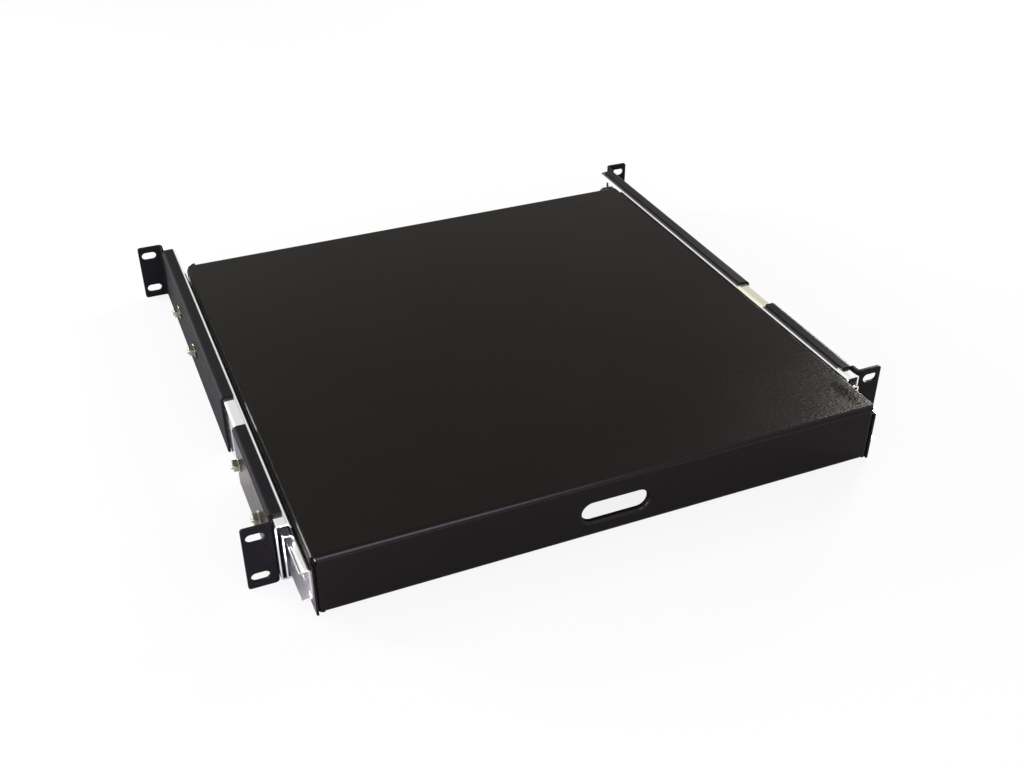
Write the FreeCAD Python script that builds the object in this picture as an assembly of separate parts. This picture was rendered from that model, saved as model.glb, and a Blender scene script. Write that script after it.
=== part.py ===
import FreeCAD, Part
import math
import os

# Sliding one-unit rack shelf: a folded tray that rides on two telescopic ball-bearing slides,
# each bolted to a front and a rear bracket with slotted ears for a 19-inch rack.
# Frame: X to the right, Y to the rear, Z up. The origin is the middle of the front ears,
# on the plane where they seat against the front posts. Millimetres.
# The tray stands as photographed, a little way out of the rack.

V = FreeCAD.Vector

# Rack standard
EAR_SPAN = 482.6
HOLE_SPAN = 465.1
HOLE_PITCH = 31.75
SEAT_DEPTH = 409.0

# Brackets
BRACKET_SHEET = 2.0
BRACKET_HEIGHT = 48.7
BRACKET_BEND = 1.6
FRONT_BRACKET_LENGTH = 112.0
REAR_BRACKET_LENGTH = 260.0
FLANGE_WIDTH = 9.7
FRONT_FLANGE_START = 8.5
REAR_FLANGE_START = 11.0
EAR_CORNER = 2.0
EAR_SLOT_LENGTH = 12.4
EAR_SLOT_WIDTH = 6.8
ADJUST_SLOT_LENGTH = 22.0
FRONT_BOLTS = (36.0, 98.0)
REAR_BOLTS = (262.0, 328.0)

# Tray
TRAY_WIDTH = 415.2
TRAY_DEPTH = 409.8
TRAY_HEIGHT = 45.9
TRAY_SHEET = 1.5
TRAY_BEND = 2.6
TRAY_OUT = 42.5
TRAY_TOP = 22.3
TRAY_RETURN = 12.0
CORNER_TAB = 12.0
TAB_BEND = 2.0
TAB_REACH = 4.0
FRONT_RELIEF = 3.8
REAR_CLIP = 6.5
GRIP_LENGTH = 49.6
GRIP_HEIGHT = 15.0
GRIP_DEPTH = 4.2
GRIP_ROLL = 2.8
GRIP_LEVEL = -3.3
TRAY_BOLTS = (10.0, 160.0, 330.0)

# Slides: u runs from the outer rail's back to the tray's side, v up from the middle of the slide
SLIDE_WIDTH = 12.7
SLIDE_HEIGHT = 44.5
OUTER_SHEET = 1.2
OUTER_LIP = 11.0
OUTER_LENGTH = 406.0
OUTER_FRONT = -4.0
MIDDLE_SHEET = 1.0
MIDDLE_BACK = 3.1
MIDDLE_TOP = 17.0
MIDDLE_LENGTH = 383.0
MIDDLE_FRONT = -9.0
INNER_SHEET = 1.2
INNER_TOP = 11.95
INNER_LIP = 5.3
INNER_LENGTH = 396.0
INNER_FRONT = -39.0
WEB_BEND = 0.6
TRAVEL_OUT = 354.0
SPARE_HOLES = (45.0, 90.0, 215.0, 265.0)
SPARE_HOLE = 2.3

# Balls and their cages
BALL_RADIUS = 2.1
RACE_RADIUS = 2.3
RACE_GAP = 0.15
CAGE_SHEET = 0.5
CAGE_LENGTH = 150.0
CAGE_REACH = 1.85
BALL_PITCH = 60.0
BALLS_PER_ROW = 3
INNER_BALL_DEPTH = 7.2
OUTER_CAGE_SHARE = 0.25
INNER_CAGE_SHARE = 0.75
OUTER_CAGE_BACK = 2.3
INNER_CAGE_BACK = 4.4

# Stops and bumpers
STOP_HALF_HEIGHT = 6.0
STOP_NOTCH = 3.0
STOP_REACH = 9.0
BUMPER_LENGTH = 6.8
BUMPER_HALF_HEIGHT = 5.0
BUMPER_EDGE = 1.5
BUMPER_GAP = 1.5

# Fasteners
BRACKET_SCREW = 2.4
BRACKET_HOLE = 2.75
BRACKET_HEAD = 4.5
BRACKET_HEAD_HEIGHT = 0.9
WASHER_RADIUS = 5.5
WASHER_HEIGHT = 1.0
BRACKET_NUT_FLATS = 8.0
BRACKET_NUT_HEIGHT = 4.0
TRAY_SCREW = 1.9
TRAY_HOLE = 1.97
TRAY_HEAD = 3.6
TRAY_HEAD_TOP = 2.8
TRAY_HEAD_HEIGHT = 2.0
TRAY_NUT_FLATS = 7.0
TRAY_NUT_HEIGHT = 3.2
NUT_CLEARANCE = 0.06
NUT_FACE = 0.95
NUT_SLOPE = math.radians(30)
SCREW_TIP = 1.2
ACCESS_HOLE = 5.0
ACCESS_PITCH = 90.0
ACCESS_COUNT = 4

# Cutters reach past the surfaces that they cut, and places closer than this are the same
OVERCUT = 1.0
SAME_PLACE = 1e-6

# Worked out from the values above
TRAY_SIDE = TRAY_WIDTH / 2
SLIDE_BACK = TRAY_SIDE + SLIDE_WIDTH
WEB_FACE = SLIDE_BACK + BRACKET_SHEET
BRACKET_TOP = BRACKET_HEIGHT / 2
EAR_EDGE = EAR_SPAN / 2
EAR_FACE = -BRACKET_SHEET
TRAY_FRONT = -TRAY_OUT
TRAY_REAR = TRAY_FRONT + TRAY_DEPTH
TRAY_BOTTOM = TRAY_TOP - TRAY_HEIGHT
OUTER_TOP = SLIDE_HEIGHT / 2
TRAY_FOLD = TRAY_BEND + TRAY_SHEET
BALL_DROP = RACE_GAP + BALL_RADIUS
OUTER_BALL = (OUTER_LIP - OUTER_SHEET - RACE_RADIUS, OUTER_TOP - OUTER_SHEET - BALL_DROP)
INNER_BALL = (INNER_BALL_DEPTH, MIDDLE_TOP - MIDDLE_SHEET - BALL_DROP)
MIDDLE_LIP = INNER_BALL[0] + RACE_RADIUS + MIDDLE_SHEET
LIP_LEG = 0.3
GROOVE_RADIUS = BALL_DROP


def across(a, b):
    """A point of a section that is looked at along the rack."""
    return V(a, 0, b)


def level(a, b):
    """A point of a section that is looked at from above."""
    return V(a, b, 0)


def lengthwise(a, b):
    """A point of a section that is looked at from the side."""
    return V(0, a, b)


def outline(corners, radii, place):
    """Closed face with straight sides, rounded by an arc at each corner that has a radius."""
    points = [place(*corner) for corner in corners]
    count = len(points)
    ends = []
    for i, point in enumerate(points):
        if radii[i] == 0:
            ends.append((point, None, point))
            continue
        before = (points[i - 1] - point).normalize()
        after = (points[(i + 1) % count] - point).normalize()
        half = before.getAngle(after) / 2
        inward = (before + after).normalize()
        reach = radii[i] / math.tan(half)
        crown = point + inward * (radii[i] / math.sin(half) - radii[i])
        ends.append((point + before * reach, crown, point + after * reach))
    edges = []
    for i, (start, crown, stop) in enumerate(ends):
        if crown is not None:
            edges.append(Part.Arc(start, crown, stop).toShape())
        following = ends[(i + 1) % count][0]
        edges.append(Part.LineSegment(stop, following).toShape())
    return Part.Face(Part.Wire(edges))


def folded_sheet(path, sheet, bends, place):
    """Section of a bent sheet: the path runs along its outer face and the sheet lies to the left."""
    ways = []
    for (a0, b0), (a1, b1) in zip(path, path[1:]):
        length = math.hypot(a1 - a0, b1 - b0)
        ways.append(((a1 - a0) / length, (b1 - b0) / length))
    lefts = [(-b, a) for a, b in ways]
    inside = [(path[0][0] + lefts[0][0] * sheet, path[0][1] + lefts[0][1] * sheet)]
    for point, left, following in zip(path[1:-1], lefts, lefts[1:]):
        spread = sheet / (1 + left[0] * following[0] + left[1] * following[1])
        inside.append((point[0] + (left[0] + following[0]) * spread,
                       point[1] + (left[1] + following[1]) * spread))
    inside.append((path[-1][0] + lefts[-1][0] * sheet, path[-1][1] + lefts[-1][1] * sheet))
    outer_radii = [0] + [bend + sheet for bend in bends] + [0]
    inner_radii = [0] + list(bends) + [0]
    return outline(list(path) + inside[::-1], outer_radii + inner_radii[::-1], place)


def box(x0, x1, y0, y1, z0, z1):
    return Part.makeBox(x1 - x0, y1 - y0, z1 - z0, V(x0, y0, z0))


def slot(length, width, depth, centre, along, through):
    """Round-ended bar for cutting a slot: along its length, and through the sheet."""
    half = (length - width) / 2
    start = centre - through * (depth / 2)
    bar = None
    for end in (-half, half):
        pin = Part.makeCylinder(width / 2, depth, start + along * end, through)
        bar = pin if bar is None else bar.fuse(pin)
    side = along.cross(through) * (width / 2)
    corners = [start - along * half - side, start + along * half - side,
               start + along * half + side, start - along * half + side]
    middle = Part.Face(Part.makePolygon(corners + corners[:1])).extrude(through * depth)
    return bar.fuse(middle).removeSplitter()


def hexagon_nut(flats, height, bore, centre, axis):
    """Hexagon nut standing on its seat, with the corners of its outer end turned to a cone."""
    corner = flats / math.sqrt(3)
    turns = [math.pi / 3 * i for i in range(7)]
    points = [V(corner * math.cos(turn), corner * math.sin(turn), 0) for turn in turns]
    nut = Part.Face(Part.makePolygon(points)).extrude(V(0, 0, height))
    face = flats / 2 * NUT_FACE
    cone = Part.makeCone(face + height / math.tan(NUT_SLOPE), face, height)
    nut = nut.common(cone).cut(Part.makeCylinder(bore, height))
    nut.Placement = FreeCAD.Placement(centre, FreeCAD.Rotation(V(0, 0, 1), axis))
    return nut


def mirrored(shape):
    return shape.mirror(V(0, 0, 0), V(1, 0, 0))


def slide_x(u):
    """X of a place in the left slide."""
    return u - SLIDE_BACK


def slide_section(path, sheet, bends):
    return folded_sheet([(slide_x(u), v) for u, v in path], sheet, bends, across)


def along_slide(face, front, length):
    face.translate(V(0, front, 0))
    return face.extrude(V(0, length, 0))


def ear_slots(y):
    """Cutters for the two slots of the left ear at a depth y."""
    cutters = []
    for z in (-HOLE_PITCH / 2, HOLE_PITCH / 2):
        centre = V(-HOLE_SPAN / 2, y, z)
        cutters.append(slot(EAR_SLOT_LENGTH, EAR_SLOT_WIDTH, 3 * BRACKET_SHEET, centre,
                            V(1, 0, 0), V(0, 1, 0)))
    return cutters


def round_ear_corners(bracket):
    edges = [edge for edge in bracket.Edges
             if abs(edge.BoundBox.XMax + EAR_EDGE) < SAME_PLACE and edge.BoundBox.ZLength < SAME_PLACE]
    return bracket.makeFillet(EAR_CORNER, edges)


def bracket(ear_path, flange_start, flange_stop, ear_level, cutters):
    """Web with a flange turned in along its top and an ear turned out at one end."""
    ear = folded_sheet(ear_path, BRACKET_SHEET, [BRACKET_BEND], level)
    ear.translate(V(0, 0, -BRACKET_TOP))
    body = ear.extrude(V(0, 0, BRACKET_HEIGHT))
    path = [(FLANGE_WIDTH - WEB_FACE, BRACKET_TOP), (-WEB_FACE, BRACKET_TOP), (-WEB_FACE, -BRACKET_TOP)]
    angle = folded_sheet(path, BRACKET_SHEET, [BRACKET_BEND], across)
    body = body.fuse(along_slide(angle, flange_start, flange_stop - flange_start))
    for cutter in cutters + ear_slots(ear_level):
        body = body.cut(cutter)
    return round_ear_corners(body.removeSplitter())


def left_front_bracket():
    start = EAR_FACE + FRONT_FLANGE_START
    ear_path = [(-EAR_EDGE, EAR_FACE), (-SLIDE_BACK, EAR_FACE), (-SLIDE_BACK, start)]
    outside = -WEB_FACE - BRACKET_SHEET
    holes = [Part.makeCylinder(BRACKET_HOLE, 3 * BRACKET_SHEET, V(outside, y, 0), V(1, 0, 0))
             for y in FRONT_BOLTS]
    return bracket(ear_path, start, EAR_FACE + FRONT_BRACKET_LENGTH, EAR_FACE / 2, holes)


def left_rear_bracket():
    back = SEAT_DEPTH + BRACKET_SHEET
    stop = SEAT_DEPTH - REAR_FLANGE_START
    ear_path = [(-SLIDE_BACK, stop), (-SLIDE_BACK, back), (-EAR_EDGE, back)]
    slots = [slot(ADJUST_SLOT_LENGTH, 2 * BRACKET_HOLE, 3 * BRACKET_SHEET, V(-WEB_FACE, y, 0),
                  V(0, 1, 0), V(1, 0, 0))
             for y in REAR_BOLTS]
    return bracket(ear_path, SEAT_DEPTH - REAR_BRACKET_LENGTH, stop, SEAT_DEPTH + BRACKET_SHEET / 2, slots)


def left_outer_rail():
    """C section with rolled lips, and a stop tab turned in from its back at the rear end."""
    end = OUTER_TOP - OUTER_SHEET - RACE_RADIUS - LIP_LEG
    path = [(OUTER_LIP, end), (OUTER_LIP, OUTER_TOP), (0, OUTER_TOP),
            (0, -OUTER_TOP), (OUTER_LIP, -OUTER_TOP), (OUTER_LIP, -end)]
    rail = along_slide(slide_section(path, OUTER_SHEET, [RACE_RADIUS, WEB_BEND, WEB_BEND, RACE_RADIUS]),
                       OUTER_FRONT, OUTER_LENGTH)
    rear = OUTER_FRONT + OUTER_LENGTH
    notch = STOP_HALF_HEIGHT + OUTER_SHEET / 2
    rail = rail.cut(box(slide_x(-OVERCUT), slide_x(OUTER_SHEET), rear - STOP_NOTCH, rear, -notch, notch))
    tab_path = [(slide_x(STOP_REACH), rear), (slide_x(0), rear), (slide_x(0), rear - STOP_NOTCH)]
    tab = folded_sheet(tab_path, OUTER_SHEET, [WEB_BEND], level)
    tab.translate(V(0, 0, -STOP_HALF_HEIGHT))
    rail = rail.fuse(tab.extrude(V(0, 0, 2 * STOP_HALF_HEIGHT)))
    for y in FRONT_BOLTS + REAR_BOLTS:
        start = V(slide_x(-OUTER_SHEET / 2), y, 0)
        rail = rail.cut(Part.makeCylinder(BRACKET_HOLE, 2 * OUTER_SHEET, start, V(1, 0, 0)))
    return rail.removeSplitter()


def groove(ball, front, length, side):
    """Cutter for the ball race that runs along a rail's lip."""
    start = V(slide_x(ball[0]), front - OVERCUT, side * ball[1])
    return Part.makeCylinder(GROOVE_RADIUS, length + 2 * OVERCUT, start, V(0, 1, 0))


def left_middle_rail():
    """C section nested in the outer rail: races outside its lips and inside them, and access holes."""
    end = MIDDLE_TOP - MIDDLE_SHEET - RACE_RADIUS - LIP_LEG
    path = [(MIDDLE_LIP, end), (MIDDLE_LIP, MIDDLE_TOP), (MIDDLE_BACK, MIDDLE_TOP),
            (MIDDLE_BACK, -MIDDLE_TOP), (MIDDLE_LIP, -MIDDLE_TOP), (MIDDLE_LIP, -end)]
    rail = along_slide(slide_section(path, MIDDLE_SHEET, [RACE_RADIUS, WEB_BEND, WEB_BEND, RACE_RADIUS]),
                       MIDDLE_FRONT, MIDDLE_LENGTH)
    for side in (-1, 1):
        rail = rail.cut(groove(OUTER_BALL, MIDDLE_FRONT, MIDDLE_LENGTH, side))
    first = MIDDLE_FRONT + (MIDDLE_LENGTH - ACCESS_PITCH * (ACCESS_COUNT - 1)) / 2
    for i in range(ACCESS_COUNT):
        start = V(slide_x(MIDDLE_BACK - OVERCUT), first + ACCESS_PITCH * i, 0)
        rail = rail.cut(Part.makeCylinder(ACCESS_HOLE, MIDDLE_SHEET + 2 * OVERCUT, start, V(1, 0, 0)))
    return rail


def left_inner_rail():
    """Channel screwed to the tray's side: races on its lips, spare holes, and a tab for the bumper."""
    path = [(INNER_LIP, -INNER_TOP), (SLIDE_WIDTH, -INNER_TOP),
            (SLIDE_WIDTH, INNER_TOP), (INNER_LIP, INNER_TOP)]
    rail = along_slide(slide_section(path, INNER_SHEET, [WEB_BEND, WEB_BEND]), INNER_FRONT, INNER_LENGTH)
    for side in (-1, 1):
        rail = rail.cut(groove(INNER_BALL, INNER_FRONT, INNER_LENGTH, side))
    rear = INNER_FRONT + INNER_LENGTH
    notch = STOP_HALF_HEIGHT + INNER_SHEET / 2
    web = slide_x(SLIDE_WIDTH)
    rail = rail.cut(box(web - INNER_SHEET, web, rear - STOP_NOTCH, rear, -notch, notch))
    tab_path = [(web, rear - STOP_NOTCH), (web, rear), (slide_x(INNER_LIP), rear)]
    tab = folded_sheet(tab_path, INNER_SHEET, [WEB_BEND], level)
    tab.translate(V(0, 0, -STOP_HALF_HEIGHT))
    rail = rail.fuse(tab.extrude(V(0, 0, 2 * STOP_HALF_HEIGHT)))
    holes = [(y, TRAY_HOLE) for y in TRAY_BOLTS] + [(y, SPARE_HOLE) for y in SPARE_HOLES]
    for y, radius in holes:
        start = V(web - 2 * INNER_SHEET, y, 0)
        rail = rail.cut(Part.makeCylinder(radius, 3 * INNER_SHEET, start, V(1, 0, 0)))
    return rail.removeSplitter()


def cage_middle(first_front, first_length, second_front, second_length, share):
    """Rest place of a cage that is centred on its two rails' overlap when the slide is fully out."""
    overlap_front = max(first_front, second_front)
    overlap_rear = min(first_front + first_length, second_front + second_length)
    return (overlap_front + overlap_rear) / 2 + TRAVEL_OUT * share


def outer_cage_middle():
    middle_out = MIDDLE_FRONT - TRAVEL_OUT / 2
    return cage_middle(OUTER_FRONT, OUTER_LENGTH, middle_out, MIDDLE_LENGTH, OUTER_CAGE_SHARE)


def inner_cage_middle():
    middle_out = MIDDLE_FRONT - TRAVEL_OUT / 2
    inner_out = INNER_FRONT - TRAVEL_OUT
    return cage_middle(middle_out, MIDDLE_LENGTH, inner_out, INNER_LENGTH, INNER_CAGE_SHARE)


def ball_places(ball, middle):
    """Centres of a cage's balls, in a row above and a row below."""
    places = []
    for side in (-1, 1):
        for i in range(BALLS_PER_ROW):
            step = (i - (BALLS_PER_ROW - 1) / 2) * BALL_PITCH
            places.append(V(slide_x(ball[0]), middle + step, side * ball[1]))
    return places


def left_cage(back, ball, middle):
    """Thin channel between two rails, with a pocket for each ball in its flanges."""
    top = ball[1] + CAGE_SHEET / 2
    reach = ball[0] + CAGE_REACH
    path = [(reach, top), (back, top), (back, -top), (reach, -top)]
    section = slide_section(path, CAGE_SHEET, [CAGE_SHEET, CAGE_SHEET])
    cage = along_slide(section, middle - CAGE_LENGTH / 2, CAGE_LENGTH)
    for place in ball_places(ball, middle):
        cage = cage.cut(Part.makeCylinder(BALL_RADIUS + CAGE_SHEET / 5, 4 * CAGE_SHEET,
                                          place - V(0, 0, 2 * CAGE_SHEET)))
    return cage


def left_balls(ball, middle):
    return Part.Compound([Part.makeSphere(BALL_RADIUS, place) for place in ball_places(ball, middle)])


def left_bumper():
    """Rubber block on the outer rail's stop tab."""
    face = OUTER_FRONT + OUTER_LENGTH - OUTER_SHEET
    block = box(slide_x(MIDDLE_BACK), slide_x(SLIDE_WIDTH - BUMPER_GAP), face - BUMPER_LENGTH, face,
                -BUMPER_HALF_HEIGHT, BUMPER_HALF_HEIGHT)
    edges = [edge for edge in block.Edges if edge.BoundBox.YMax < face - BUMPER_LENGTH / 2]
    return block.makeFillet(BUMPER_EDGE, edges)


def left_bracket_screws():
    """Low round heads inside the outer rail, with shanks out through the bracket."""
    seat = slide_x(OUTER_SHEET)
    length = OUTER_SHEET + BRACKET_SHEET + WASHER_HEIGHT + BRACKET_NUT_HEIGHT + SCREW_TIP
    screws = []
    for y in FRONT_BOLTS + REAR_BOLTS:
        head = Part.makeCylinder(BRACKET_HEAD, BRACKET_HEAD_HEIGHT, V(seat, y, 0), V(1, 0, 0))
        shank = Part.makeCylinder(BRACKET_SCREW, length, V(seat, y, 0), V(-1, 0, 0))
        screws.append(head.fuse(shank))
    return Part.Compound(screws)


def left_bracket_washers():
    washers = []
    for y in FRONT_BOLTS + REAR_BOLTS:
        seat = V(-WEB_FACE, y, 0)
        disc = Part.makeCylinder(WASHER_RADIUS, WASHER_HEIGHT, seat, V(-1, 0, 0))
        washers.append(disc.cut(Part.makeCylinder(BRACKET_HOLE, WASHER_HEIGHT, seat, V(-1, 0, 0))))
    return Part.Compound(washers)


def left_bracket_nuts():
    bore = BRACKET_SCREW + NUT_CLEARANCE
    seat = -WEB_FACE - WASHER_HEIGHT
    return Part.Compound([
        hexagon_nut(BRACKET_NUT_FLATS, BRACKET_NUT_HEIGHT, bore, V(seat, y, 0), V(-1, 0, 0))
        for y in FRONT_BOLTS + REAR_BOLTS])


def left_tray_screws():
    """Pan heads inside the inner rail, with shanks in through the tray's side."""
    seat = slide_x(SLIDE_WIDTH - INNER_SHEET)
    length = INNER_SHEET + TRAY_SHEET + TRAY_NUT_HEIGHT + SCREW_TIP
    screws = []
    for y in TRAY_BOLTS:
        head = Part.makeCone(TRAY_HEAD, TRAY_HEAD_TOP, TRAY_HEAD_HEIGHT, V(seat, y, 0), V(-1, 0, 0))
        shank = Part.makeCylinder(TRAY_SCREW, length, V(seat, y, 0), V(1, 0, 0))
        screws.append(head.fuse(shank))
    return Part.Compound(screws)


def left_tray_nuts():
    bore = TRAY_SCREW + NUT_CLEARANCE
    seat = -TRAY_SIDE + TRAY_SHEET
    return Part.Compound([
        hexagon_nut(TRAY_NUT_FLATS, TRAY_NUT_HEIGHT, bore, V(seat, y, 0), V(1, 0, 0))
        for y in TRAY_BOLTS])


def rim_edges(pan, y):
    """Edges of the hand slot's rim that lie at a depth y."""
    return [edge for edge in pan.Edges
            if abs(edge.BoundBox.YMax - y) < SAME_PLACE and edge.BoundBox.YLength < SAME_PLACE
            and edge.BoundBox.XMax < GRIP_LENGTH and edge.BoundBox.XMin > -GRIP_LENGTH]


def tray_grip(pan):
    """Hand slot in the front panel, with its rim rolled in."""
    along, through = V(1, 0, 0), V(0, 1, 0)
    centre = V(0, TRAY_FRONT + GRIP_DEPTH / 2, GRIP_LEVEL)
    wall = 2 * TRAY_SHEET
    rim = slot(GRIP_LENGTH + wall, GRIP_HEIGHT + wall, GRIP_DEPTH, centre, along, through)
    opening = slot(GRIP_LENGTH, GRIP_HEIGHT, 2 * GRIP_DEPTH, centre, along, through)
    pan = pan.fuse(rim).removeSplitter().cut(opening)
    pan = pan.makeFillet(GRIP_ROLL, rim_edges(pan, TRAY_FRONT))
    return pan.makeFillet(GRIP_ROLL - TRAY_SHEET, rim_edges(pan, TRAY_FRONT + TRAY_SHEET))


def tray():
    """One folded sheet: top, deep front panel and rear panel with returns, and two side flanges."""
    returns = TRAY_RETURN
    path = [(TRAY_REAR - returns, TRAY_BOTTOM), (TRAY_REAR, TRAY_BOTTOM), (TRAY_REAR, TRAY_TOP),
            (TRAY_FRONT, TRAY_TOP), (TRAY_FRONT, TRAY_BOTTOM), (TRAY_FRONT + returns, TRAY_BOTTOM)]
    half = TRAY_SIDE - TRAY_SHEET
    section = folded_sheet(path, TRAY_SHEET, [TRAY_BEND] * 4, lengthwise)
    section.translate(V(-half, 0, 0))
    pan = tray_grip(section.extrude(V(2 * half, 0, 0)))
    for end in (panel_end(), corner_relief()):
        pan = pan.cut(end).cut(mirrored(end))
    flange = tray_flange()
    corner = front_corner()
    pan = pan.fuse([flange, mirrored(flange), corner, mirrored(corner)])
    pan = pan.cut(rear_clip()).cut(mirrored(rear_clip()))
    return pan.removeSplitter()


def tray_flange():
    """Left side of the tray, folded down from the top, with the holes for its screws."""
    path = [(-TRAY_SIDE + 2 * TRAY_FOLD, TRAY_TOP), (-TRAY_SIDE, TRAY_TOP), (-TRAY_SIDE, TRAY_BOTTOM)]
    section = folded_sheet(path, TRAY_SHEET, [TRAY_BEND], across)
    flange = along_slide(section, TRAY_FRONT + TRAY_FOLD, TRAY_DEPTH - TRAY_FOLD)
    wall = box(-TRAY_SIDE, -TRAY_SIDE + TRAY_SHEET, TRAY_FRONT, TRAY_FRONT + TRAY_FOLD,
               TRAY_BOTTOM, TRAY_TOP - TRAY_FOLD)
    flange = flange.fuse(wall)
    for y in TRAY_BOLTS:
        start = V(-TRAY_SIDE - TRAY_SHEET, y, 0)
        flange = flange.cut(Part.makeCylinder(TRAY_HOLE, 4 * TRAY_SHEET, start, V(1, 0, 0)))
    return flange.cut(corner_relief())


def front_corner():
    """Left end of the front panel, folded back along the inside of the side flange."""
    side = -TRAY_SIDE + TRAY_SHEET
    path = [(side, TRAY_FRONT + CORNER_TAB), (side, TRAY_FRONT), (side + TAB_REACH, TRAY_FRONT)]
    corner = folded_sheet(path, TRAY_SHEET, [TAB_BEND], level)
    corner.translate(V(0, 0, TRAY_BOTTOM + TRAY_SHEET))
    fold = corner.extrude(V(0, 0, TRAY_HEIGHT - TRAY_SHEET - TRAY_FOLD))
    return fold.cut(corner_relief())


def panel_end():
    """Cutter for the left end of the front panel, where the folded corner takes its place."""
    side = -TRAY_SIDE + TRAY_SHEET
    return box(side - OVERCUT, side + TAB_REACH, TRAY_FRONT - OVERCUT, TRAY_FRONT + TRAY_RETURN + OVERCUT,
               TRAY_BOTTOM - OVERCUT, TRAY_TOP - TRAY_FOLD)


def corner_relief():
    """Round relief where the front bend and the left bend would meet."""
    depth = 2 * FRONT_RELIEF
    return Part.makeCylinder(FRONT_RELIEF, depth, V(-TRAY_SIDE, TRAY_FRONT, TRAY_TOP + OVERCUT - depth))


def rear_clip():
    """Prism that clips the left rear corner."""
    corner = V(-TRAY_SIDE, TRAY_REAR, TRAY_BOTTOM - OVERCUT)
    reach = REAR_CLIP + OVERCUT
    steps = (V(-OVERCUT, OVERCUT, 0), V(-OVERCUT, -reach, 0), V(reach, OVERCUT, 0))
    points = [corner + step for step in steps]
    return Part.Face(Part.makePolygon(points + points[:1])).extrude(V(0, 0, TRAY_HEIGHT + 2 * OVERCUT))


def make_nodes():
    left = {
        "front_bracket": left_front_bracket(),
        "rear_bracket": left_rear_bracket(),
        "outer_rail": left_outer_rail(),
        "middle_rail": left_middle_rail(),
        "inner_rail": left_inner_rail(),
        "outer_ball_cage": left_cage(OUTER_CAGE_BACK, OUTER_BALL, outer_cage_middle()),
        "inner_ball_cage": left_cage(INNER_CAGE_BACK, INNER_BALL, inner_cage_middle()),
        "outer_balls": left_balls(OUTER_BALL, outer_cage_middle()),
        "inner_balls": left_balls(INNER_BALL, inner_cage_middle()),
        "rear_bumper": left_bumper(),
        "bracket_screws": left_bracket_screws(),
        "bracket_washers": left_bracket_washers(),
        "bracket_nuts": left_bracket_nuts(),
        "tray_screws": left_tray_screws(),
        "tray_nuts": left_tray_nuts(),
    }
    nodes = {"tray": tray()}
    for name, shape in left.items():
        nodes["left_" + name] = shape
        nodes["right_" + name] = mirrored(shape)
    return nodes


os.makedirs("parts", exist_ok=True)
for name, shape in make_nodes().items():
    shape.exportStep("parts/" + name + ".step")
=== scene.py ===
import math

import bmesh
import bpy
from mathutils import Matrix, Vector


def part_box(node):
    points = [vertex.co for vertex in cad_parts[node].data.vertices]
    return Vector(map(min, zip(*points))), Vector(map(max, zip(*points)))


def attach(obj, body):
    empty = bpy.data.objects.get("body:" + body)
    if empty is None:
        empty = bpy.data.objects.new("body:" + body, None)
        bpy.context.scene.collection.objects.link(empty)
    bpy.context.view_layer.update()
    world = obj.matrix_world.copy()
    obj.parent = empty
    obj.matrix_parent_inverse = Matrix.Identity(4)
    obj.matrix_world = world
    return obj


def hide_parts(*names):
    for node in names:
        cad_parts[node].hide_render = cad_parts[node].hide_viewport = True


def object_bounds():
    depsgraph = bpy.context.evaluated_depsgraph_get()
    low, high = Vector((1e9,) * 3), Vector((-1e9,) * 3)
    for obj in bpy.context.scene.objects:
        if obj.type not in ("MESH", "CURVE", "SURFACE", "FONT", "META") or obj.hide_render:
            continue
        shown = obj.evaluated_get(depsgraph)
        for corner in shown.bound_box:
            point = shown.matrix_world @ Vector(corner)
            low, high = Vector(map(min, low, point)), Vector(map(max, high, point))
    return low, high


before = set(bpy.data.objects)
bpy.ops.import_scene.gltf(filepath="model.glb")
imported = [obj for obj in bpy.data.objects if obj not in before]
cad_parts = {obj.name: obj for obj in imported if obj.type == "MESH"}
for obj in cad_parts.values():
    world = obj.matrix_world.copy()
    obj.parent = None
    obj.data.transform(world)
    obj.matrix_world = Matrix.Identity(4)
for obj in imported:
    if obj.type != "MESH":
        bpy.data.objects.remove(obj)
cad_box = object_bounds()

# Camera: it stands in front of the shelf, to the left and above, with a slightly long lens,
# which is where the photograph was taken from.
CAMERA_PLACE = (-0.3083, -0.5870, 0.5081)
CAMERA_AZIMUTH = math.radians(-23.10)
CAMERA_ELEVATION = math.radians(33.58)
CAMERA_LENS = 42.13
SENSOR_WIDTH = 36.0

camera = bpy.data.objects.new("camera", bpy.data.cameras.new("camera"))
camera.location = CAMERA_PLACE
camera.rotation_euler = (math.pi / 2 - CAMERA_ELEVATION, 0, CAMERA_AZIMUTH)
camera.data.sensor_width = SENSOR_WIDTH
camera.data.lens = CAMERA_LENS
bpy.context.scene.collection.objects.link(camera)
bpy.context.scene.camera = camera
bpy.context.scene.view_settings.view_transform = "Standard"

# Studio floor: a wide white sheet just under the ears. What the camera sees of it is nearly plain white,
# and the metal mirrors more of its own shading, so that the shelf keeps a shadow and the rails their form.
FLOOR_REACH = 6.0
FLOOR_GAP = 0.0002
FLOOR_WHITE = (0.64, 0.64, 0.64, 1)
PLAIN_WHITE = (1, 1, 1, 1)
PLAIN_SHARE = 0.86
MIRROR_SHARE = 0.1


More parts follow.
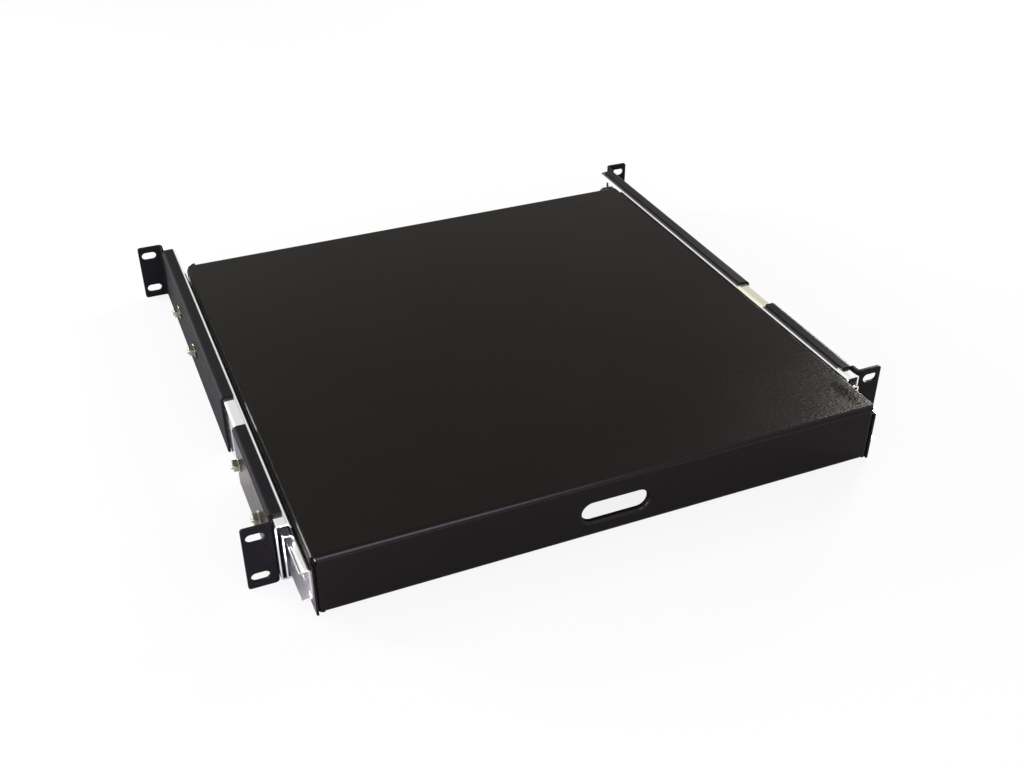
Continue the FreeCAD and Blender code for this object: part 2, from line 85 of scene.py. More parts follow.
class Link:
    """An output in a material's nodes. Arithmetic on it adds Math nodes."""

    def __init__(self, tree, socket=None):
        self.tree = tree
        self.socket = socket

    def node(self, kind, settings, inputs, output):
        """Adds a node: its settings first, then the value or link of each input. Gives one output."""
        made = self.tree.nodes.new("ShaderNode" + kind)
        for name, value in settings.items():
            setattr(made, name, value)
        sockets = {socket.identifier: socket for socket in made.inputs}
        for name, value in inputs.items():
            if isinstance(value, Link):
                self.tree.links.new(value.socket, sockets[name])
            else:
                sockets[name].default_value = value
        outputs = {socket.identifier: socket for socket in made.outputs}
        return Link(self.tree, outputs[output]) if output else None

    def math(self, operation, first, second):
        """One Math node."""
        return self.node("Math", {"operation": operation}, {"Value": first, "Value_001": second}, "Value")

    def __add__(self, other):
        return self.math("ADD", self, other)

    __radd__ = __add__

    def __sub__(self, other):
        return self.math("SUBTRACT", self, other)

    def __rsub__(self, other):
        return self.math("SUBTRACT", other, self)

    def __mul__(self, other):
        return self.math("MULTIPLY", self, other)

    __rmul__ = __mul__


def start_material(name):
    """An empty material and the start of its nodes."""
    material = bpy.data.materials.new(name)
    material.use_nodes = True
    material.node_tree.nodes.clear()
    return material, Link(material.node_tree)


def ray_kinds(nodes):
    """1 for the camera's own rays, and 1 for what a reflection or glass looks at."""
    camera_ray = nodes.node("LightPath", {}, {}, "Is Camera Ray")
    mirror_ray = nodes.node("LightPath", {}, {}, "Is Glossy Ray")
    glass_ray = nodes.node("LightPath", {}, {}, "Is Transmission Ray")
    return camera_ray, mirror_ray.math("MAXIMUM", mirror_ray, glass_ray)


def floor_white():
    """White sheet that shows the camera and the metal only part of its own shading."""
    material, nodes = start_material("floor_white")
    shaded = nodes.node("BsdfDiffuse", {}, {"Color": FLOOR_WHITE}, "BSDF")
    plain = nodes.node("Emission", {}, {"Color": PLAIN_WHITE, "Strength": 1.0}, "Emission")
    camera_ray, mirror_ray = ray_kinds(nodes)
    share = camera_ray * PLAIN_SHARE + mirror_ray * MIRROR_SHARE
    sheet = nodes.node("MixShader", {}, {"Fac": share, "Shader": shaded, "Shader_001": plain}, "Shader")
    nodes.node("OutputMaterial", {}, {"Surface": sheet}, None)
    return material


floor_level = cad_box[0].z - FLOOR_GAP
corners = [(x, y, floor_level) for x, y in ((-1, -1), (1, -1), (1, 1), (-1, 1))]
floor_mesh = bpy.data.meshes.new("floor")
floor_mesh.from_pydata([(x * FLOOR_REACH, y * FLOOR_REACH, z) for x, y, z in corners], [], [(0, 1, 2, 3)])
floor_mesh.materials.append(floor_white())
floor = bpy.data.objects.new("floor", floor_mesh)
bpy.context.scene.collection.objects.link(floor)

# Studio light: a white room that is dark overhead and where the photographer stands, and a little darker
# high up and behind the shelf, with soft boxes in front, at the left and at both rear corners.
ROOM_LIGHT = 0.25
MIRROR_HIGH = 0.93
HORIZON = 0.06
HIGH_UP = 0.42
SHADES = {
    "behind": {"way": (0.37, 0.77, 0.52), "level": 0.66, "wide": 23, "core": 6},
    "photographer": {"way": (-0.10, -0.85, 0.35), "level": 0.2, "wide": 62, "core": 36},
    "overhead": {"way": (0, 0, 1), "level": 0.1, "wide": 36, "core": 20},
}
SOFT_BOXES = {
    "front": {"place": (0.12, -1.10, 0.90), "size": (0.56, 0.75),
              "power": 12, "colour": (0.83, 0.79, 1.0)},
    "front_left": {"place": (-0.85, -0.95, 0.35), "size": (0.4, 0.4),
                   "power": 19, "colour": (0.78, 0.74, 1.0)},
    "left_high": {"place": (-1.1, 0.2, 1.3), "size": (0.8, 0.8),
                  "power": 8, "colour": (1.0, 0.80, 0.60)},
    "left_rear": {"place": (-1.22, 1.15, 0.37), "size": (0.4, 0.28),
                  "power": 34, "colour": (0.98, 0.98, 1.0)},
    "right_rear": {"place": (1.60, 1.04, 1.14), "size": (0.5, 0.5),
                   "power": 26, "colour": (1.0, 0.96, 0.89)},
    "right_low": {"place": (1.48, 1.05, 0.36), "size": (0.3, 0.35),
                  "power": 26, "colour": (1.0, 0.98, 0.94)},
}
AIM = Vector((0, 0.15, 0))
UP = (0, 0, 1)


def rise(nodes, value, low, high):
    """0 below low, 1 above high and a smooth step between."""
    bounds = {"Value": value, "From Min": low, "From Max": high}
    return nodes.node("MapRange", {"interpolation_type": "SMOOTHSTEP"}, bounds, "Result")


def facing(nodes, first, second):
    """Dot product: the cosine between two directions, or how far a place lies along one."""
    pair = {"Vector": first, "Vector_001": second}
    return nodes.node("VectorMath", {"operation": "DOT_PRODUCT"}, pair, "Value")


def room():
    """The room: its light on the shelf, and what the camera and the mirroring metal see of it."""
    world = bpy.data.worlds.new("room")
    world.use_nodes = True
    world.node_tree.nodes.clear()
    nodes = Link(world.node_tree)
    way = nodes.node("TexCoord", {}, {}, "Generated")
    height = rise(nodes, facing(nodes, way, UP), HORIZON, HIGH_UP)
    mirrored = 1 - height * (1 - MIRROR_HIGH)
    for shade in SHADES.values():
        wide, core = (math.cos(math.radians(shade[reach])) for reach in ("wide", "core"))
        depth = rise(nodes, facing(nodes, way, Vector(shade["way"]).normalized()), wide, core)
        mirrored = mirrored * (1 - depth * (1 - shade["level"]))
    camera_ray, mirror_ray = ray_kinds(nodes)
    strength = ROOM_LIGHT + camera_ray * (1 - ROOM_LIGHT) + mirror_ray * (mirrored - ROOM_LIGHT)
    sky = nodes.node("Background", {}, {"Color": PLAIN_WHITE, "Strength": strength}, "Background")
    nodes.node("OutputWorld", {}, {"Surface": sky}, None)
    return world


def soft_box(name, place, size, power, colour):
    """Rectangular lamp that faces the shelf."""
    lamp = bpy.data.lights.new(name, "AREA")
    lamp.shape = "RECTANGLE"
    lamp.size, lamp.size_y = size
    lamp.energy = power
    lamp.color = colour
    holder = bpy.data.objects.new(name, lamp)
    holder.location = place
    holder.rotation_euler = (AIM - Vector(place)).to_track_quat("-Z", "Y").to_euler()
    bpy.context.scene.collection.objects.link(holder)


bpy.context.scene.world = room()
for name, box in SOFT_BOXES.items():
    soft_box(name, **box)

# Brackets: four angles of 2 mm steel sheet, folded, slotted and powder coated in satin black.
# Each has a flange turned in over the slide and an ear with two slots for the rack's screws.
SIDES = ("left", "right")
FRONT_BATCH = {"dullness": 0.13, "index": 1.13}
REAR_BATCH = {"dullness": 0.50, "index": 1.13}
BRACKET_BEND_DULLNESS = 0.5
EDGE_ROUND = 0.0003
BRACKET_DARK = (0.0050, 0.0048, 0.0052, 1)
BRACKET_LIGHT = (0.0100, 0.0095, 0.0102, 1)
BARE_EDGE = (0.055, 0.054, 0.052, 1)
BRACKET_GRAIN = 0.0007
BRACKET_CLOUD = 0.03
SHEET_WAVE = 0.018
WAVE_STRETCH = (1, 0.35, 2)
CLOUD_SHARE = 0.6
CLOUD_DULLING = 0.10
GRAIN_DULLING = 0.08
GRAIN_HEIGHT = 0.25
WAVE_HEIGHT = 6
BRACKET_RELIEF = 0.00006
BRACKET_WEAR = 0.6
WEAR_TURN = (0.04, 0.25)
WEAR_PATCH = 0.004
WEAR_SPREAD = (0.45, 0.7)
BEND_START = (0.02, 0.25)
BEND_END = (0.93, 0.998)
NOISE_ROUGHNESS = 0.55
FINE, MEDIUM, COARSE = 3, 2, 1
BEVEL_SAMPLES = 4


def noise(nodes, place, size, detail):
    """Soft random pattern from 0 to 1 with features of about that size in metres."""
    settings = {"Vector": place, "Scale": 1 / size, "Detail": detail, "Roughness": NOISE_ROUGHNESS}
    return nodes.node("TexNoise", {}, settings, "Fac")


def stretched(nodes, place, x, y, z):
    """The same place with each direction scaled, for patterns that run along a piece."""
    scaled = {"Vector": place, "Vector_001": (x, y, z)}
    return nodes.node("VectorMath", {"operation": "MULTIPLY"}, scaled, "Vector")


def between(nodes, share, first, second):
    """A colour part of the way from the first to the second."""
    mixed = {"Factor_Float": share, "A_Color": first, "B_Color": second}
    return nodes.node("Mix", {"data_type": "RGBA"}, mixed, "Result_Color")


def rounded_normal(nodes, edge):
    """Normal with the edges rounded off to that radius."""
    return nodes.node("Bevel", {"samples": BEVEL_SAMPLES}, {"Radius": edge}, "Normal")


def relief(nodes, height, depth, edge):
    """Normal of a surface with that relief, and with its edges rounded off."""
    bump = {"Strength": 1.0, "Distance": depth, "Height": height, "Normal": rounded_normal(nodes, edge)}
    return nodes.node("Bump", {}, bump, "Normal")


def edge_wear(nodes, place, edge):
    """Patches along the edges where the coat is thin."""
    flat = nodes.node("NewGeometry", {}, {}, "Normal")
    turn = 1 - facing(nodes, rounded_normal(nodes, edge), flat)
    return rise(nodes, turn, *WEAR_TURN) * rise(nodes, noise(nodes, place, WEAR_PATCH, FINE), *WEAR_SPREAD)


def finish_material(nodes, **inputs):
    """Closes a material with one Principled surface."""
    named = {name.replace("_", " "): value for name, value in inputs.items()}
    surface = nodes.node("BsdfPrincipled", {}, named, "BSDF")
    nodes.node("OutputMaterial", {}, {"Surface": surface}, None)


def bent(nodes, normal):
    """1 on a bend between a level and an upright face, and 0 on both faces."""
    level = facing(nodes, normal, UP)
    return rise(nodes, level, *BEND_START) * (1 - rise(nodes, level, *BEND_END))


def bracket_coat(name, dullness, index):
    """Black coat of one batch: how dull it is on flat faces and how strongly it mirrors."""
    material, nodes = start_material(name)
    place = nodes.node("TexCoord", {}, {}, "Object")
    grain = noise(nodes, place, BRACKET_GRAIN, FINE)
    cloud = noise(nodes, place, BRACKET_CLOUD, FINE)
    wave = noise(nodes, stretched(nodes, place, *WAVE_STRETCH), SHEET_WAVE, COARSE)
    mottle = cloud * CLOUD_SHARE + grain * (1 - CLOUD_SHARE)
    coat = between(nodes, mottle, BRACKET_DARK, BRACKET_LIGHT)
    wear = edge_wear(nodes, place, 2 * EDGE_ROUND)
    bend = bent(nodes, nodes.node("NewGeometry", {}, {}, "Normal"))
    plain = dullness + bend * (BRACKET_BEND_DULLNESS - dullness)
    height = grain * GRAIN_HEIGHT + wave * WAVE_HEIGHT
    finish_material(nodes, Base_Color=between(nodes, wear * BRACKET_WEAR, coat, BARE_EDGE),
                    Roughness=plain + cloud * CLOUD_DULLING + grain * GRAIN_DULLING, IOR=index,
                    Normal=relief(nodes, height, BRACKET_RELIEF, EDGE_ROUND))
    return material


def dress(node, material):
    """Gives a node of the frame its finish."""
    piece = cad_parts[node]
    piece.data.materials.clear()
    piece.data.materials.append(material)


for end, batch in (("front", FRONT_BATCH), ("rear", REAR_BATCH)):
    coat = bracket_coat(f"{end}_bracket_coat", **batch)
    for side in SIDES:
        dress(f"{side}_{end}_bracket", coat)

# Slide rails: three nested channels a side, roll-formed from steel strip and bright zinc plated.
# The outer rail is bolted to the brackets, and the inner rail is screwed to the tray's side.
ZINC_BLUE = (0.96, 0.97, 0.98, 1)
ZINC_CREAM = (0.97, 0.96, 0.76, 1)
ZINC_DULL = (0.72, 0.73, 0.74, 1)
# Painted shade: a near-black band on the right outer rail's lip, along the flanges' inner edges.
FLANGE_SHADE_BLACK = (0.030, 0.028, 0.025, 1)
ACROSS = (1, 0, 0)
ALONG = (0, 1, 0)
FLANGE_SHADE_ACROSS = (0.2095, 0.2110)
FLANGE_SHADE_ALONG = (0.0085, 0.0115)
LIP_DEPTH = (0.0012, 0.0006)
RIGHT_SIDE = (0.2, 0.205)
GAP_FADE = 0.002
BRIGHT_ZINC = {"metal": 0.97, "dullness": 0.06}
SATIN_ZINC = {"metal": 0.90, "dullness": 0.20}
RAIL_EDGE = 0.00015
DRAWN_STRETCH = (1, 0.02, 1)
DRAWN_WIDTH = 0.0012
DRAWN_DULLING = 0.08
DRAWN_RELIEF = 0.000012
TINT_STRETCH = (1, 0.3, 1)
TINT_SIZE = 0.02
TINT_SHARE = 0.3
SPOT_SIZE = 0.006
SPOT_SPREAD = (0.62, 0.75)
SPOT_SHARE = 0.35
SPOT_METAL_LOSS = 0.12
SPOT_DULLING = 0.10
FLANGE_SHADE_DULLING = 0.5


def flange_gap(nodes, place):
    """1 on the rails at the right, over the length of the gap between the two brackets."""
    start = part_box("right_front_bracket")[1].y
    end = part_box("right_rear_bracket")[0].y
    right = rise(nodes, facing(nodes, place, ACROSS), *RIGHT_SIDE)
    along = facing(nodes, place, ALONG)
    begun = rise(nodes, along, start, start + GAP_FADE)
    ended = rise(nodes, along, end - GAP_FADE, end)
    return right * begun * (1 - ended)


def painted_flange_shade(nodes, place):
    """1 on the right outer rail's lip beside the flanges, where the flanges' shade is painted in."""
    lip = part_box("right_outer_rail")[1].z
    across, along, up = (facing(nodes, place, axis) for axis in (ACROSS, ALONG, UP))
    on_top = rise(nodes, up, *(lip - depth for depth in LIP_DEPTH))
    return on_top * rise(nodes, across, *FLANGE_SHADE_ACROSS) * rise(nodes, along, *FLANGE_SHADE_ALONG)


def zinc_plate(name, metal, dullness):
    """Zinc plating, as mirror-like as metal is high and dullness low."""
    material, nodes = start_material(name)
    place = nodes.node("TexCoord", {}, {}, "Object")
    drawn = noise(nodes, stretched(nodes, place, *DRAWN_STRETCH), DRAWN_WIDTH, FINE)
    tint = noise(nodes, stretched(nodes, place, *TINT_STRETCH), TINT_SIZE, MEDIUM) * TINT_SHARE
    spot = rise(nodes, noise(nodes, place, SPOT_SIZE, FINE), *SPOT_SPREAD)
    gap = flange_gap(nodes, place)
    # Painted shade beside the flanges: the lip there is made near black, duller and not metallic.
    flange_shade = painted_flange_shade(nodes, place) * (1 - gap)
    plated = between(nodes, tint + gap * (1 - tint), ZINC_BLUE, ZINC_CREAM)
    spotted = between(nodes, spot * SPOT_SHARE, plated, ZINC_DULL)
    dulling = drawn * DRAWN_DULLING + spot * SPOT_DULLING + flange_shade * FLANGE_SHADE_DULLING
    finish_material(nodes, Base_Color=between(nodes, flange_shade, spotted, FLANGE_SHADE_BLACK),
                    Metallic=(metal - spot * SPOT_METAL_LOSS) * (1 - flange_shade), Roughness=dullness + dulling,
                    Normal=relief(nodes, drawn, DRAWN_RELIEF, RAIL_EDGE))
    return material


bright_zinc = zinc_plate("bright_zinc", **BRIGHT_ZINC)
satin_zinc = zinc_plate("satin_zinc", **SATIN_ZINC)
for side in SIDES:
    dress(f"{side}_inner_rail", satin_zinc)
    for rail in ("outer", "middle"):
        dress(f"{side}_{rail}_rail", bright_zinc)

# Bracket fasteners: screws with low heads inside the outer rail, washers and hexagon nuts outside.
# They are steel, zinc plated and passivated to a pale yellow with greenish and pink patches.
YELLOW_PALE = (0.70, 0.69, 0.53, 1)
YELLOW_GREEN = (0.50, 0.52, 0.39, 1)
YELLOW_PINK = (0.67, 0.61, 0.50, 1)
YELLOW_METAL = 0.97
PATCH_SIZE = 0.003
PATCH_PALE = (0.40, 0.55)
PATCH_PINK = (0.58, 0.72)
TURNED_SIZE = 0.0005
TURNED_DULLNESS = (0.10, 0.14)
TURNED_RELIEF = 0.00003
ROW_GAP = 0.008
TURN_STEPS = 28
HEAD_RINGS = 6
THREAD_RINGS = 8
THREAD_DEPTH = 0.6
TIP_SHARE = 0.1
RECESS_TAPER = 0.75
RECESS_WIDTH = 0.34
RECESS_DEPTH = 0.7
TURN_PER_METRE = 90
SHARP_EDGE = math.radians(38)
BRACKET_SCREW = {"head_height": 0.0009, "dome": 0.0004, "shank": 0.0024, "pitch": 0.0008, "recess": 0.0022}


def yellow_zinc():
    material, nodes = start_material("yellow_zinc")
    place = nodes.node("TexCoord", {}, {}, "Object")
    patch = noise(nodes, place, PATCH_SIZE, MEDIUM)
    turned = noise(nodes, place, TURNED_SIZE, FINE)
    least, added = TURNED_DULLNESS
    warm = between(nodes, rise(nodes, patch, *PATCH_PALE), YELLOW_GREEN, YELLOW_PALE)
    finish_material(nodes, Base_Color=between(nodes, rise(nodes, patch, *PATCH_PINK), warm, YELLOW_PINK),
                    Metallic=YELLOW_METAL, Roughness=least + turned * added,
                    Normal=relief(nodes, turned, TURNED_RELIEF, RAIL_EDGE))
    return material


def stations(node):
    """Y of each solid of a node whose solids stand in a row along the slide."""
    places = sorted(vertex.co.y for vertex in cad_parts[node].data.vertices)
    groups = [[places[0]]]
    for place in places[1:]:
        if place - groups[-1][-1] > ROW_GAP:
            groups.append([])
        groups[-1].append(place)
    return [(group[0] + group[-1]) / 2 for group in groups]


def mesh_of(shape, name):
    """Mesh with smooth rounds and sharp corners."""
    bmesh.ops.recalc_face_normals(shape, faces=shape.faces)
    mesh = bpy.data.meshes.new(name)
    shape.to_mesh(mesh)
    shape.free()
    mesh.shade_smooth()
    mesh.set_sharp_from_angle(angle=SHARP_EDGE)
    return mesh


def cut_away(mesh, cutter):
    """The mesh with the cutter's solids taken out of it."""
    piece = bpy.data.objects.new("piece", mesh)
    tool = bpy.data.objects.new("tool", cutter)
    for holder in (piece, tool):
        bpy.context.scene.collection.objects.link(holder)
    cut = piece.modifiers.new("cut", "BOOLEAN")
    cut.object = tool
    cut.solver = "MANIFOLD"
    bpy.context.view_layer.update()
    opened = bpy.data.meshes.new_from_object(piece.evaluated_get(bpy.context.evaluated_depsgraph_get()))
    opened.name = mesh.name
    bpy.data.objects.remove(piece)
    bpy.data.objects.remove(tool)
    opened.set_sharp_from_angle(angle=SHARP_EDGE)
    return opened


def turned_shape(rings, pitch):
    """Closed surface round the Z axis from rings of (height, radius, thread depth)."""
    shape = bmesh.new()
    loops = []
    for height, radius, depth in rings:
        loop = []
        for i in range(TURN_STEPS):
            angle = 2 * math.pi * i / TURN_STEPS
            phase = (height / pitch + i / TURN_STEPS) % 1
            reach = radius - depth * abs(2 * phase - 1)
            loop.append(shape.verts.new((reach * math.cos(angle), reach * math.sin(angle), height)))
        loops.append(loop)
    for upper, lower in zip(loops, loops[1:]):
        for i in range(TURN_STEPS):
            following = (i + 1) % TURN_STEPS
            shape.faces.new((upper[i], lower[i], lower[following], upper[following]))
    shape.faces.new(loops[0])
    shape.faces.new(loops[-1])
    return shape


def screw_rings(length, head_radius, head_height, dome, shank, pitch):
    """Rings of a screw from the crown of its head down to the tip of its shank."""
    rings = []
    for i in range(1, HEAD_RINGS + 1):
        turn = math.pi / 2 * i / HEAD_RINGS
        rings.append((-dome * (1 - math.cos(turn)), head_radius * math.sin(turn), 0))
    rings.append((-head_height, head_radius, 0))
    rings.append((-head_height, shank, 0))
    depth = THREAD_DEPTH * pitch
    count = int((length - head_height) / pitch * THREAD_RINGS)
    for i in range(1, count + 1):
        share = i / count
        tip = max(0, (share - 1 + TIP_SHARE) / TIP_SHARE)
        rings.append((-head_height - (length - head_height) * share, shank - depth * tip, depth * (1 - tip)))
    return rings


def cross_recess(reach, depth):
    """Cutter for a cross recess: two crossed bars that taper downwards."""
    shape = bmesh.new()
    for turn in (0, math.pi / 2):
        bar = bmesh.ops.create_cone(shape, cap_ends=True, segments=4, radius1=RECESS_TAPER, radius2=1,
                                    depth=1)
        half = reach * math.sqrt(2)
        scale = Matrix.Diagonal((half, half * RECESS_WIDTH, 2 * depth, 1))
        place = Matrix.Rotation(turn, 4, "Z") @ scale @ Matrix.Rotation(math.pi / 4, 4, "Z")
        bmesh.ops.transform(shape, matrix=place, verts=bar["verts"])
    return mesh_of(shape, "cross_recess")


def screw_mesh(name, length, head_radius, head_height, dome, shank, pitch, recess):
    """Screw with its crown at the origin and its shank downwards."""
    rings = screw_rings(length, head_radius, head_height, dome, shank, pitch)
    solid = mesh_of(turned_shape(rings, pitch), name)
    return cut_away(solid, cross_recess(recess, head_height * RECESS_DEPTH))


def row_of(mesh, places):
    """One mesh with a copy of the given mesh at each place."""
    row = bmesh.new()
    for place in places:
        copy = mesh.copy()
        copy.transform(place)
        row.from_mesh(copy)
        bpy.data.meshes.remove(copy)
    joined = bpy.data.meshes.new(mesh.name)
    row.to_mesh(joined)
    row.free()
    return joined


def add_piece(name, mesh, material, body, node):
    """Puts a detailed piece in the place of a node."""
    mesh.materials.clear()
    mesh.materials.append(material)
    piece = bpy.data.objects.new(name, mesh)
    bpy.context.scene.collection.objects.link(piece)
    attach(piece, body)
    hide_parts(node)


def add_screws(side, node, sizes, outward, material, body):
    """Detailed screws in a row, each turned its own way.

    Outward is 1 where the tips point away from the shelf, and -1 where they point into it.
    """
    low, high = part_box(node)
    head_radius = (high.z - low.z) / 2
    screw = screw_mesh(node, high.x - low.x, head_radius, **sizes)
    away = outward * (-1 if side == "left" else 1)
    crown = low.x if away > 0 else high.x
    lie = Matrix.Rotation(-away * math.pi / 2, 4, "Y")
    places = []
    for y in stations(node):
        turn = Matrix.Rotation(y * TURN_PER_METRE, 4, "Z")
        places.append(Matrix.Translation((crown, y, (low.z + high.z) / 2)) @ lie @ turn)
    add_piece(node + "_set", row_of(screw, places), material, body, node)


yellow = yellow_zinc()
for side in SIDES:
    add_screws(side, f"{side}_bracket_screws", BRACKET_SCREW, 1, yellow, "rack_frame")
    for fastener in ("washers", "nuts"):
        dress(f"{side}_bracket_{fastener}", yellow)

# Bumpers: a moulded block of black rubber on each outer rail's stop tab, with a slightly dusty skin.
# They cushion the inner rail when the tray is pushed home.
RUBBER_BLACK = (0.016, 0.016, 0.017, 1)
RUBBER_DUST = (0.060, 0.058, 0.055, 1)
RUBBER_SKIN = 0.0006
RUBBER_DULLNESS = (0.62, 0.2)
RUBBER_RELIEF = 0.00004
DUST_SIZE = 0.003
DUST_SPREAD = (0.5, 0.8)
DUST_SHARE = 0.5


def bumper_rubber():
    material, nodes = start_material("bumper_rubber")
    place = nodes.node("TexCoord", {}, {}, "Object")
    skin = noise(nodes, place, RUBBER_SKIN, FINE)
    dust = rise(nodes, noise(nodes, place, DUST_SIZE, FINE), *DUST_SPREAD)
    least, added = RUBBER_DULLNESS
    finish_material(nodes, Base_Color=between(nodes, dust * DUST_SHARE, RUBBER_BLACK, RUBBER_DUST),
                    Roughness=least + skin * added, Normal=relief(nodes, skin, RUBBER_RELIEF, EDGE_ROUND))
    return material


rubber = bumper_rubber()
for side in SIDES:
    dress(f"{side}_rear_bumper", rubber)

# Ball cages: thin greased channels that hold the bearing balls in the races between two rails.
# Each flange is pierced for a row of polished hardened steel balls.
CAGE_GREY = (0.46, 0.46, 0.45, 1)
CAGE_GREASE = (0.30, 0.26, 0.19, 1)
BALL_BRIGHT = (0.80, 0.81, 0.82, 1)
BALL_FILM = (0.58, 0.55, 0.48, 1)
STRIP_STRETCH = (1, 0.05, 1)
STRIP_WIDTH = 0.001
STRIP_DULLNESS = (0.36, 0.12)
STRIP_RELIEF = 0.00004
SMEAR_SIZE = 0.007
SMEAR_SPREAD = (0.46, 0.66)
SMEAR_HEIGHT = 2
SMEAR_METAL_LOSS = 0.4
SMEAR_GLOSS = 0.16
FILM_SIZE = 0.002
FILM_SPREAD = (0.5, 0.7)
FILM_SHARE = 0.6
FILM_DULLNESS = (0.07, 0.14)
BALLS_BETWEEN = 3
POCKET_GAP = 0.0001
POCKET_SIDES = 24
BALL_SIDES = 20
SAME_PLACE = 1e-6


def cage_steel():
    material, nodes = start_material("cage_steel")
    place = nodes.node("TexCoord", {}, {}, "Object")
    drawn = noise(nodes, stretched(nodes, place, *STRIP_STRETCH), STRIP_WIDTH, FINE)
    smear = rise(nodes, noise(nodes, place, SMEAR_SIZE, FINE), *SMEAR_SPREAD)
    least, added = STRIP_DULLNESS
    finish_material(nodes, Base_Color=between(nodes, smear, CAGE_GREY, CAGE_GREASE),
                    Metallic=1 - smear * SMEAR_METAL_LOSS,
                    Roughness=least + drawn * added - smear * SMEAR_GLOSS,
                    Normal=relief(nodes, drawn + smear * SMEAR_HEIGHT, STRIP_RELIEF, RAIL_EDGE))
    return material


def ball_steel():
    material, nodes = start_material("ball_steel")
    place = nodes.node("TexCoord", {}, {}, "Object")
    film = rise(nodes, noise(nodes, place, FILM_SIZE, MEDIUM), *FILM_SPREAD)
    least, added = FILM_DULLNESS
    finish_material(nodes, Base_Color=between(nodes, film * FILM_SHARE, BALL_BRIGHT, BALL_FILM),
                    Metallic=1.0, Roughness=least + film * added)
    return material


def ball_row(node):
    """Radius of a cage's balls and the place of each, with those between the frame's own balls added."""
    low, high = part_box(node)
    held = stations(node)
    radius = (high.x - low.x) / 2
    pitch = (held[1] - held[0]) / (BALLS_BETWEEN + 1)
    count = (len(held) - 1) * (BALLS_BETWEEN + 1) + 1
    levels = (low.z + radius, high.z - radius)
    return radius, [Vector((low.x + radius, held[0] + i * pitch, z)) for i in range(count) for z in levels]


def balls_mesh(node):
    radius, places = ball_row(node)
    shape = bmesh.new()
    for place in places:
        bmesh.ops.create_uvsphere(shape, u_segments=BALL_SIDES, v_segments=BALL_SIDES // 2, radius=radius,
                                  matrix=Matrix.Translation(place))
    return mesh_of(shape, node)


def cage_mesh(node, balls):
    """The frame's cage with a pocket for each ball that it doesn't have yet."""
    radius, places = ball_row(balls)
    pocket = radius + POCKET_GAP
    held = stations(balls)
    strip = bmesh.new()
    strip.from_mesh(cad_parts[node].data)
    bmesh.ops.remove_doubles(strip, verts=strip.verts, dist=SAME_PLACE)
    pins = bmesh.new()
    for place in places:
        if min(abs(place.y - y) for y in held) > radius:
            bmesh.ops.create_cone(pins, cap_ends=True, segments=POCKET_SIDES, radius1=pocket, radius2=pocket,
                                  depth=radius, matrix=Matrix.Translation(place))
    return cut_away(mesh_of(strip, node), mesh_of(pins, "pockets"))


cage_strip = cage_steel()
ball_polish = ball_steel()
for side in SIDES:
    for ring in ("outer", "inner"):
        cage, balls, body = f"{side}_{ring}_ball_cage", f"{side}_{ring}_balls", f"{side}_{ring}_cage"
        add_piece(cage + "_strip", cage_mesh(cage, balls), cage_strip, body, cage)
        add_piece(balls + "_row", balls_mesh(balls), ball_polish, body, balls)

# Tray: one folded sheet of 1.5 mm steel with a hand slot in its front panel.
# It is coated in black powder with a fine texture.
TRAY_INDEX = 1.14
TRAY_DARK = (0.0050, 0.0043, 0.0038, 1)
TRAY_LIGHT = (0.0084, 0.0073, 0.0065, 1)
TRAY_SHEEN = (1.0, 0.94, 0.88, 1)
TRAY_EDGE = 0.0008
POWDER_GRAIN = 0.0006
POWDER_PEEL = 0.0026
POWDER_CLOUD = 0.08
POWDER_RELIEF = 0.00016
PEEL_SHARE = 0.8
WIPE_SIZE = 0.03
WIPE_STRETCH = (0.4, 1, 1)
TRAY_MOTTLE = 0.5
TRAY_DULLNESS = 0.125
POWDER_DULLING = 0.05
WIPE_DULLING = 0.04
TRAY_WEAR = 0.5
BEND_DULLNESS = 0.3
FRONT_BEND_GLOSS = 0.27
SIDE_BEND_GLOSS = 0.18
SIDE_BEND_DULLING = 0.25
SIDE_TURN = (0.06, 0.36)
FRONT_TURN = (0, 0.3)
TO_FRONT = (0, -1, 0)
RUB_PLACE = (0.1965, -0.022, 0.0223)
RUB_REACH = (0.0055, 0.020, 0.010)
RUB_SPREAD = (0.9, 1.7)
RUB_GLOSS = 0.75


def rubbed_patch(nodes, place, middle, reach):
    """1 in an oval patch with a broken outline, and 0 outside it."""
    pair = {"Vector": place, "Vector_001": middle}
    away = nodes.node("VectorMath", {"operation": "SUBTRACT"}, pair, "Vector")
    shares = stretched(nodes, away, *(1 / half for half in reach))
    distance = nodes.node("VectorMath", {"operation": "LENGTH"}, {"Vector": shares}, "Value")
    return 1 - rise(nodes, distance + noise(nodes, place, POWDER_PEEL, FINE), *RUB_SPREAD)


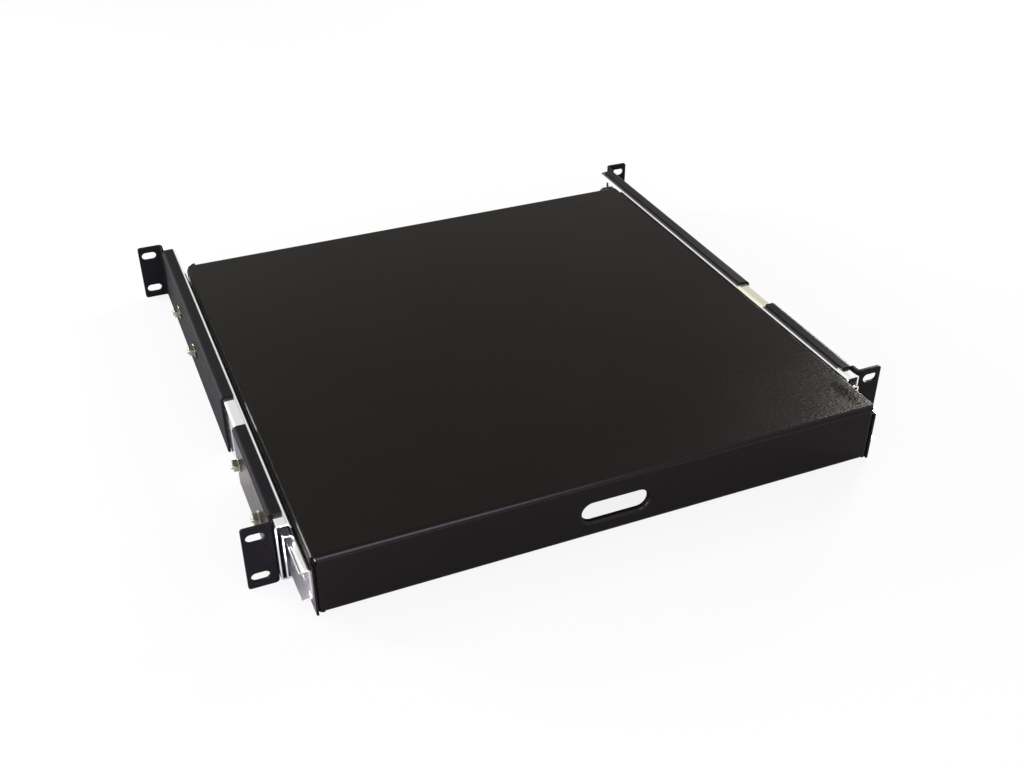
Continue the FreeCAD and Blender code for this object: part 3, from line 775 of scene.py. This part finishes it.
def on_bends(nodes):
    """1 on the front bend and 1 on the side bends, where the powder is stretched thin over the fold."""
    normal = nodes.node("NewGeometry", {}, {}, "Normal")
    sideways = facing(nodes, normal, ACROSS)
    curved = bent(nodes, normal)
    side_bend = curved * rise(nodes, sideways * sideways, *SIDE_TURN)
    forward = rise(nodes, facing(nodes, normal, TO_FRONT), *FRONT_TURN)
    return curved * (1 - side_bend) * forward, side_bend


def tray_coat():
    material, nodes = start_material("tray_coat")
    place = nodes.node("TexCoord", {}, {}, "Object")
    grain = noise(nodes, place, POWDER_GRAIN, FINE)
    peel = noise(nodes, place, POWDER_PEEL, MEDIUM)
    cloud = noise(nodes, place, POWDER_CLOUD, FINE)
    wiped = noise(nodes, stretched(nodes, place, *WIPE_STRETCH), WIPE_SIZE, MEDIUM)
    rubbed = rubbed_patch(nodes, place, RUB_PLACE, RUB_REACH)
    coat = between(nodes, cloud * TRAY_MOTTLE + grain * (1 - TRAY_MOTTLE), TRAY_DARK, TRAY_LIGHT)
    wear = edge_wear(nodes, place, 2 * EDGE_ROUND)
    front_bend, side_bend = on_bends(nodes)
    flat = TRAY_DULLNESS + (cloud + grain) * POWDER_DULLING + wiped * WIPE_DULLING
    height = peel * PEEL_SHARE + grain * (1 - PEEL_SHARE)
    finish_material(nodes, Base_Color=between(nodes, wear * TRAY_WEAR, coat, BARE_EDGE),
                    Roughness=flat * (1 - rubbed * RUB_GLOSS) + side_bend * SIDE_BEND_DULLING,
                    IOR=TRAY_INDEX, Specular_Tint=TRAY_SHEEN,
                    Coat_Weight=front_bend * FRONT_BEND_GLOSS + side_bend * SIDE_BEND_GLOSS,
                    Coat_Roughness=BEND_DULLNESS,
                    Normal=relief(nodes, height, POWDER_RELIEF, TRAY_EDGE))
    return material


dress("tray", tray_coat())

# Tray fasteners: pan-head screws inside the inner rails and nuts inside the tray's sides.
# They are zinc plated steel, like the rails.
TRAY_SCREW = {"head_height": 0.0020, "dome": 0.0011, "shank": 0.0019, "pitch": 0.0007, "recess": 0.0020}

for side in SIDES:
    add_screws(side, f"{side}_tray_screws", TRAY_SCREW, -1, satin_zinc, "tray")
    dress(f"{side}_tray_nuts", satin_zinc)
